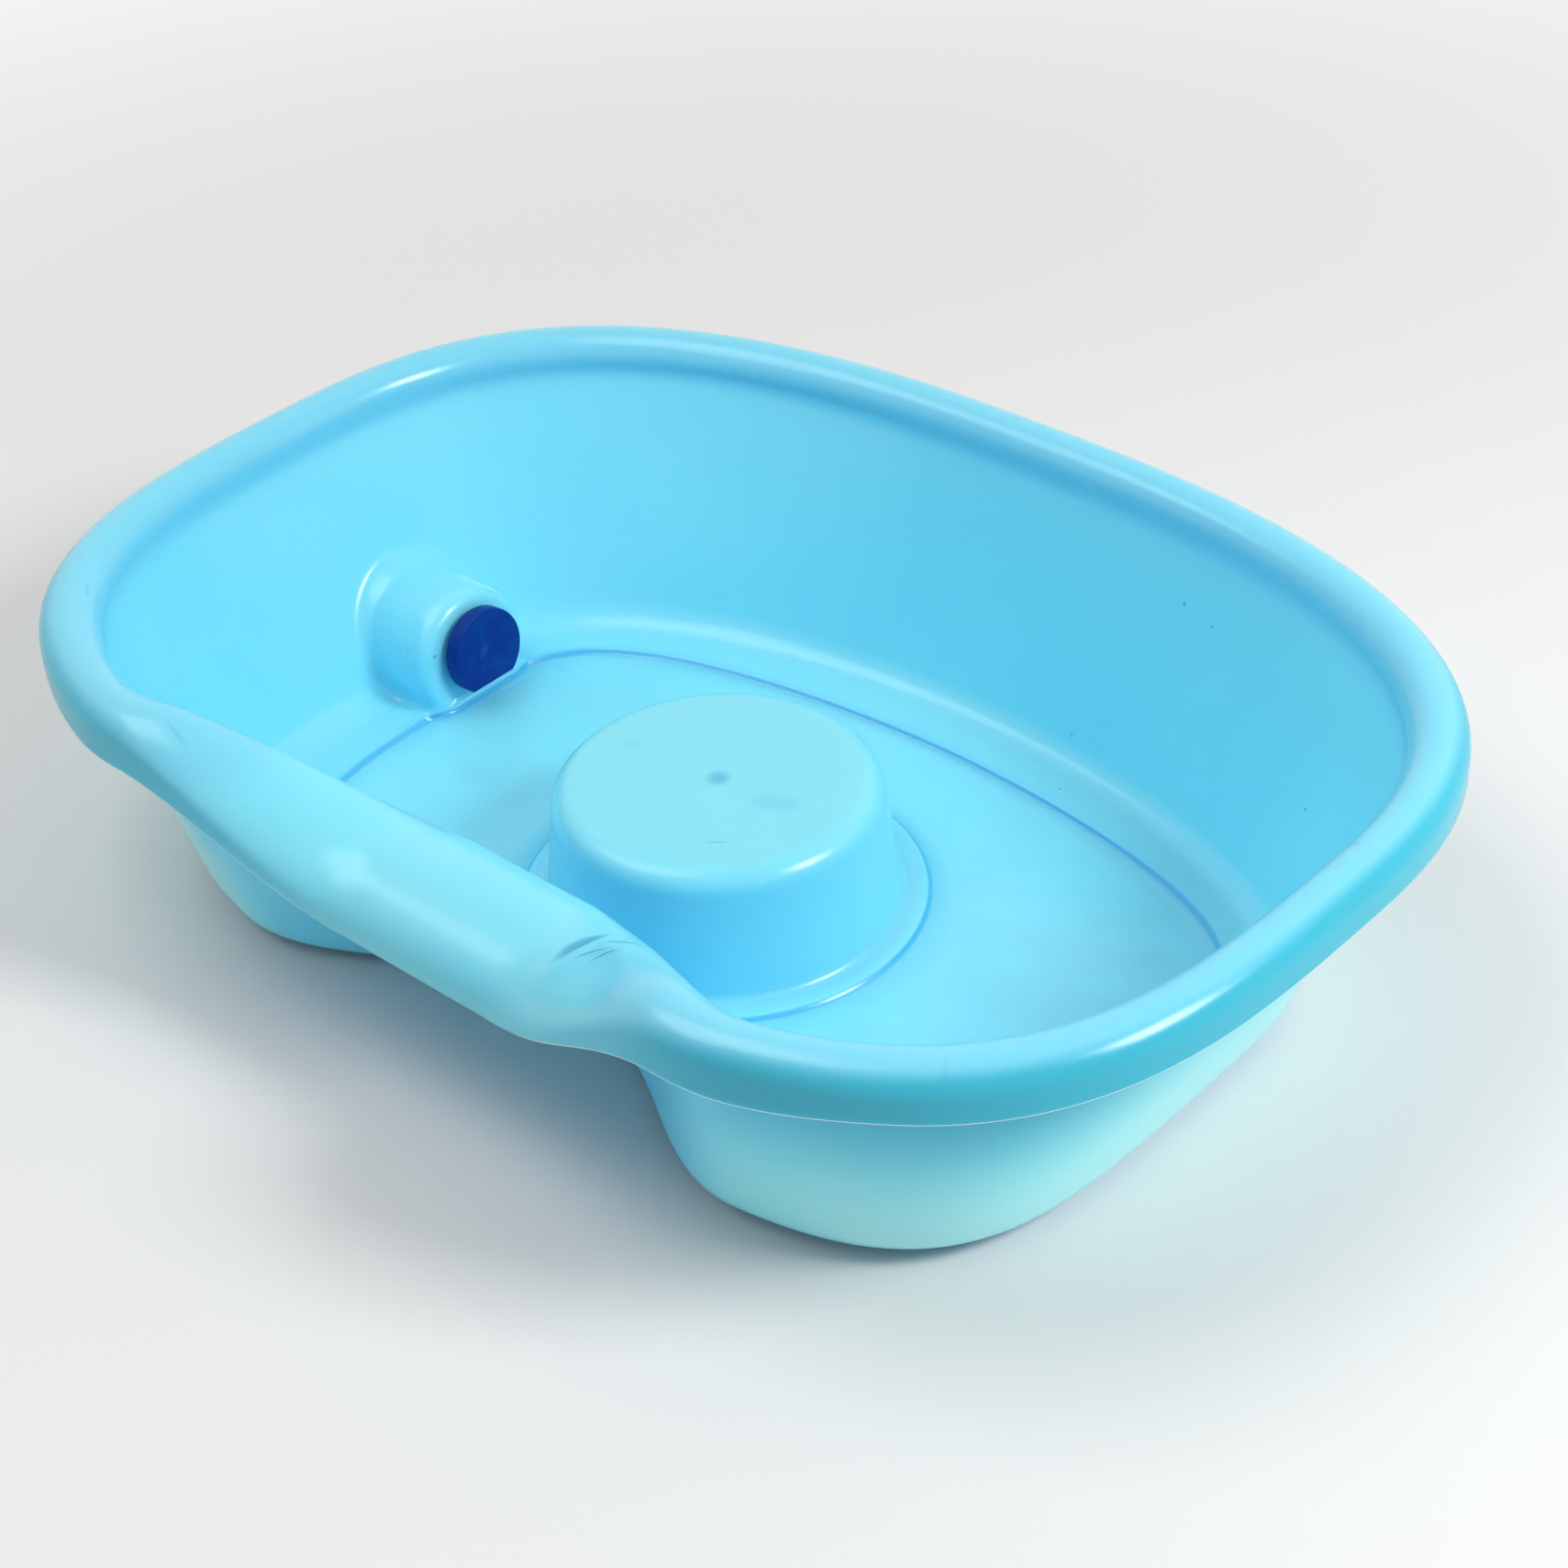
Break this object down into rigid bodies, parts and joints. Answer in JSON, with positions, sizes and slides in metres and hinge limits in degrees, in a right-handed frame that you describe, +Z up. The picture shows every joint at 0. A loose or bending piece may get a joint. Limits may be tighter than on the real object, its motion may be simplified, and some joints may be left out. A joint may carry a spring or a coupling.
{
  "type": "portable shampoo basin",
  "caption": "Low moulded hair-washing basin with a rolled rim, a lowered neck rest, a round head pedestal and an end drain with a push-in stopper.",
  "frame": {"origin": "middle of the basin's box in plan, on the surface that it stands on", "axes": "+X along the basin, away from the drain end; +Y from the neck rest to the back wall; +Z up"},
  "size_m": [0.485, 0.3445, 0.1085],
  "materials": {
    "basin_plastic": "semi-gloss, slightly translucent moulded polypropylene",
    "plug_plastic": "satin soft plastic",
    "seal_rubber": "matt"
  },
  "bodies": {
    "basin": {"basin_shell": "basin_plastic"},
    "plug": {"drain_plug": "plug_plastic", "plug_seal": "seal_rubber"}
  },
  "joints": [
    {"name": "plug_pull", "type": "slide", "parent": "basin", "child": "plug", "axis": [0.9945, 0, 0.1045], "range_m": [0, 0.03]}
  ]
}
